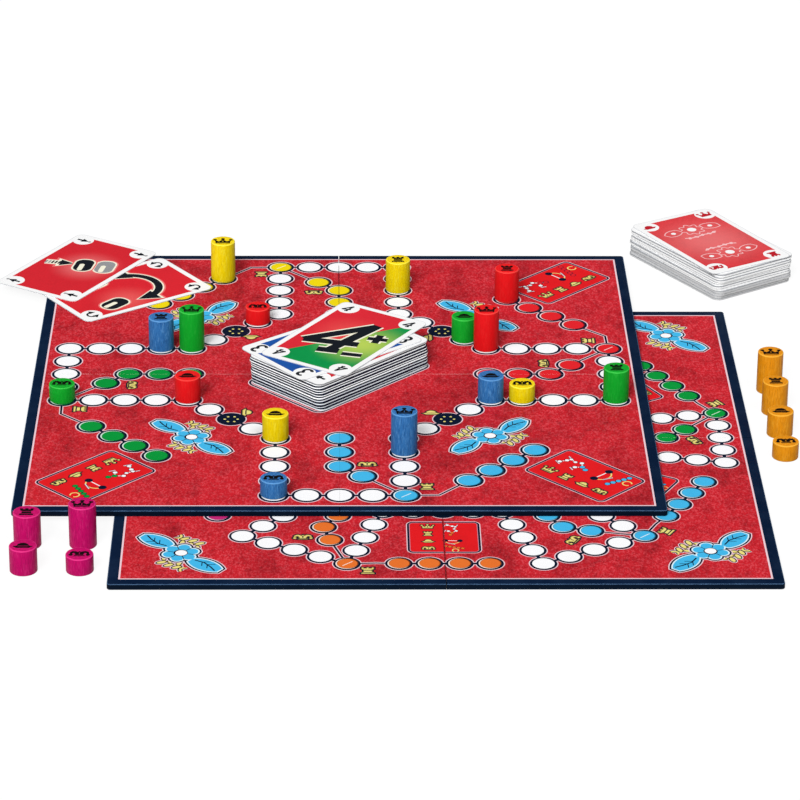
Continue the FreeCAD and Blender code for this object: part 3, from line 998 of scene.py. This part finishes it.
def drawTurnCard():  # two pieces changing places under an arch with two heads
    drawing = cardField("turnRed")
    arch = arc(-1, 3, 19, 12, 160, 24)
    for ink, stroke, head in (("cardHalo", 8.6, 10.2), ("cardGlow", 6.6, 8.8), ("cardBlack", 4.7, 7.2)):
        paint(drawing, ink, band(arch, stroke))
        for x, y in (arch[0], arch[-1]):
            paint(drawing, ink, arrowHead(x, y - 2, -90, head))
    drawSilhouette(drawing, "cardBlack", 15.5, -17, 14)
    drawSilhouette(drawing, "cardGrey", -17, -13, 14)
    bow = band(arc(0, -2, 12, -20, 200, 14), 5)
    small = (bow, arrowHead(10.5, -8, -110, 9), arrowHead(-10.5, -8, -70, 9))
    return drawSpots(drawing, 0.26, [("cardBlack", outline) for outline in small])


def drawStepCard():  # an arrow of short bars that pushes one piece against another
    drawing = cardField("stepRed")
    arrow = (-17, -0.5, 20)
    for ink, stroke, head in (("cardHalo", 8.4, 8.6), ("cardGlow", 6.6, 7)):
        paint(drawing, ink, band([(-6, 0), (6, 0)], stroke), *arrow)
        paint(drawing, ink, arrowHead(8, 0, 0, head), *arrow)
    paint(drawing, "cardBlack", arrowHead(8, 0, 0, 5), *arrow)
    for n, ink in enumerate(("cardGrey", "cardGrey", "cardBlack", "cardBlack", "cardBlack")):
        x = -5.6 + 2.1 * n
        paint(drawing, ink, [(x - 0.9, -2.2), (x + 0.4, -2.2), (x + 1.2, 2.2), (x - 0.1, 2.2)], *arrow)
    drawSilhouette(drawing, "cardGrey", 14.5, 9, 20)
    drawSilhouette(drawing, "cardBlack", 1.5, 4.5, 20)
    small = [("cardBlack", band([(-4.4, 0), (0, 0)], 1.7)), ("cardBlack", arrowHead(1.6, 0, 0, 2.8)),
             ("cardGrey", circle(4.6, 0, 1.1, 10))]
    return drawSpots(drawing, 1, small)


def drawCardBack():
    drawing = cardField("backRed")
    leaf = arc(0, -7.6, 14.5, 45, 135, 10)[1:] + arc(0, 7.6, 14.5, 225, 315, 10)[1:]
    angles = [2 * pi * n / 48 for n in range(48)]
    flower = [((7 + 1.2 * cos(8 * a)) * cos(a), (7 + 1.2 * cos(8 * a)) * sin(a)) for a in angles]
    shapes = (moved(flower, 0, 21), moved(leaf, -14, 21, 15, 0.62), moved(leaf, 14, 21, -15, 0.62))
    for turn in (0, 180):
        paintRims(drawing, (("backPale", 0.45), ("backRed", -0.2)), shapes, 0, 0, turn)
        for x, size in ((0, 3), (-14, 1.6), (14, 1.6)):
            paint(drawing, "cardWhite", circle(x, 21, size, 20), 0, 0, turn)
        twig = [(-12, 11), (-8, 9.4), (-3, 9.6), (2, 10.6), (7, 10), (12, 11.6)]
        paint(drawing, "backPale", band(twig, 1.1), 0, 0, turn)
        for spot in ((-9, 9.6, 60), (-4, 9.6, -60), (1, 10.4, 60), (6, 10.2, -60), (10, 10.8, 60)):
            paint(drawing, "backPale", moved(leaf, *spot, 0.16), 0, 0, turn)
    return drawSpots(drawing, 0.82, *([("backDark", outline) for outline in marks[kind]] for kind in kinds))


def cutCard(name, drawing):
    # the ground shows as a thin grey rim round the white: painted shade along the cut edge
    card = paintedFace(name, ("cardRim", cardOutline(0)), drawing)
    thicken(card, cardThick * mm, "cardEdge")
    return card


def printCard(node, drawing):
    card = cutCard(f"{node}_printed", drawing)
    settle(card, placeOfCard(node))
    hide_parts(node)
    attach(card, node)


pileLook = {
    "discard_pile": {
        "leaves": 10, "packet": (0.82, 1.2), "share": (0.28, 0.56), "slip": 0.35, "twist": 0.3, "seed": 11,
        "lean": (-0.9, 3.5), "edge": "pileWhite", "low": "pileBlue", "gap": "pileNavy", "inset": 0.03,
        "topTwist": 0,
    },
    "draw_pile": {
        "leaves": 11, "packet": (0.7, 1.3), "share": (0.5, 0.75), "slip": 0.6, "twist": 0.5, "seed": 5,
        "lean": (-0.4, -0.6), "edge": "pileNeutral", "low": "pileDull", "gap": "pileGrey", "inset": 0.05,
        "topTwist": 1.2,
    },
}
packetLook = {"newGroup": 0.18, "groupSlip": 1.3, "ownSlip": 0.4, "furthestBack": 0.2, "lowShare": 0.36}


def pileLeaf(name, ink, inset=0):  # 1 mm thick, made thinner when it is laid
    leaf = paintedFace(name, (ink, cardOutline(inset, 6)), [])
    thicken(leaf, mm, ink)
    return leaf


def layPile(node, drawing):  # packets of cards pressed together, with a dark line between the packets: a dark leaf, painted shade in the gaps
    look = pileLook[node]
    place = placeOfCard(node)
    low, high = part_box(node)
    middle = place.translation
    turn = place.to_euler().z
    leaf, lowLeaf = [pileLeaf(f"{node}_{part}", look[part]) for part in ("edge", "low")]
    # a dark leaf laid between packets: painted shade where the gaps are
    gap = pileLeaf(f"{node}_gap", look["gap"], look["inset"])
    top = cutCard(f"{node}_cards", drawing)
    settle(top, place @ Matrix.Rotation(radians(look["topTwist"]), 4, "Z"))
    chance = Random(look["seed"])
    groupSlip, ownSlip = look["slip"] * packetLook["groupSlip"], look["slip"] * packetLook["ownSlip"]
    leanX, leanY = look["lean"]
    copies, height, groupX, groupY = [], 0, 0, 0
    packets = [chance.uniform(*look["packet"]) for _ in range(look["leaves"])]
    unit = (high.z - low.z - cardThick * mm) / sum(packets)
    for n, packet in enumerate(packets):
        if chance.random() < packetLook["newGroup"]:
            groupX, groupY = chance.gauss(0, groupSlip), chance.gauss(0, groupSlip)
        share = n / look["leaves"]
        x = middle.x + (leanX * (share - 0.5) + groupX + chance.gauss(0, ownSlip)) * mm
        back = min(groupY + chance.gauss(0, ownSlip), packetLook["furthestBack"])
        y = middle.y + (leanY * (share - 0.5) + back) * mm
        twist = Matrix.Rotation(turn + radians(chance.gauss(0, look["twist"])), 4, "Z")
        paperShare = chance.uniform(*look["share"])
        paper = lowLeaf if share < packetLook["lowShare"] else leaf
        for pattern, part in ((paper, paperShare), (gap, 1 - paperShare)):
            depth = packet * part * unit
            height += depth
            copy = addObject(f"{pattern.name}{n}", pattern.data.copy())
            thinner = Matrix.Diagonal((1, 1, depth / mm, 1))
            settle(copy, Matrix.Translation((x, y, low.z + height)) @ twist @ thinner)
            copies.append(copy)
    for pattern in (leaf, lowLeaf, gap):
        bpy.data.objects.remove(pattern)
    pick(top, *copies)
    bpy.ops.object.join()
    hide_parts(node)
    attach(top, node)


# Floor
floorLook = {
    "inks": {"studioWhite": (95, 0.9), "studioHole": (95, 0), "studioStrip": (252, 0)},  # grey and glow
    "dark": 0.95, "light": 1.05, "roughness": 0.9, "relief": 0, "gloss": 0.2, "patches": 0.05,
    "side": 12000, "holeInset": 1, "slitStrip": 1,
}


def cornersOf(board):
    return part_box(f"{board}_front_left_wrap")[0] / mm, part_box(f"{board}_back_right_wrap")[1] / mm


def slitStrip(board):  # the floor below a board's open slit, which shows through it
    centre = boardCentre(board) / mm
    low, high = cornersOf(board)
    side = low.y if slitSide[board] == "front" else high.y
    return band([(centre.x, centre.y), (centre.x, side)], floorLook["slitStrip"])


def layFloor():  # glows, so that shadows stay faint, and leaves out what lies under the lower board
    inset = floorLook["holeInset"]
    low, high = cornersOf("lower_board")
    left, right, front, back = low.x + inset, high.x - inset, low.y + inset, high.y - inset
    hole = [(left, front), (right, front), (right, back), (left, back)]
    for name, (grey, glow) in floorLook["inks"].items():
        mixInk(name, (grey, grey, grey), floorLook, floorLook["patches"], 0, glow)
    floor = paintedFace("studioFloor", ("studioWhite", square(floorLook["side"] / 2)),
                        [("studioHole", hole)] + [("studioStrip", slitStrip(board)) for board in slitSide])
    gone = floor.data.materials.find("studioHole")
    for polygon in floor.data.polygons:
        polygon.select = polygon.material_index == gone
    switch("EDIT")
    bpy.ops.mesh.select_mode(type="FACE")
    bpy.ops.mesh.delete(type="FACE")
    switch("OBJECT")
    floor.visible_diffuse = False


placeCamera()
lightStudio()
makeFinishes()
print("camera, light and finishes ready")
finishPlainNodes()
for board in ("lower_board", "upper_board"):
    printBoard(board)
    for quarter in quarters:
        wrapQuarter(board, quarter)
    print(f"{board} printed and wrapped")
turnPieces()
print("wooden pieces turned")
printCard("draw_top_card", drawCardBack())
printCard("discard_second_card", drawNumberThree())
printCard("discard_top_card", drawNumberFour())
printCard("loose_low_card", drawTurnCard())
printCard("loose_high_card", drawStepCard())
layPile("draw_pile", drawCardBack())
layPile("discard_pile", drawStepCard())
print("cards printed and laid")
layFloor()
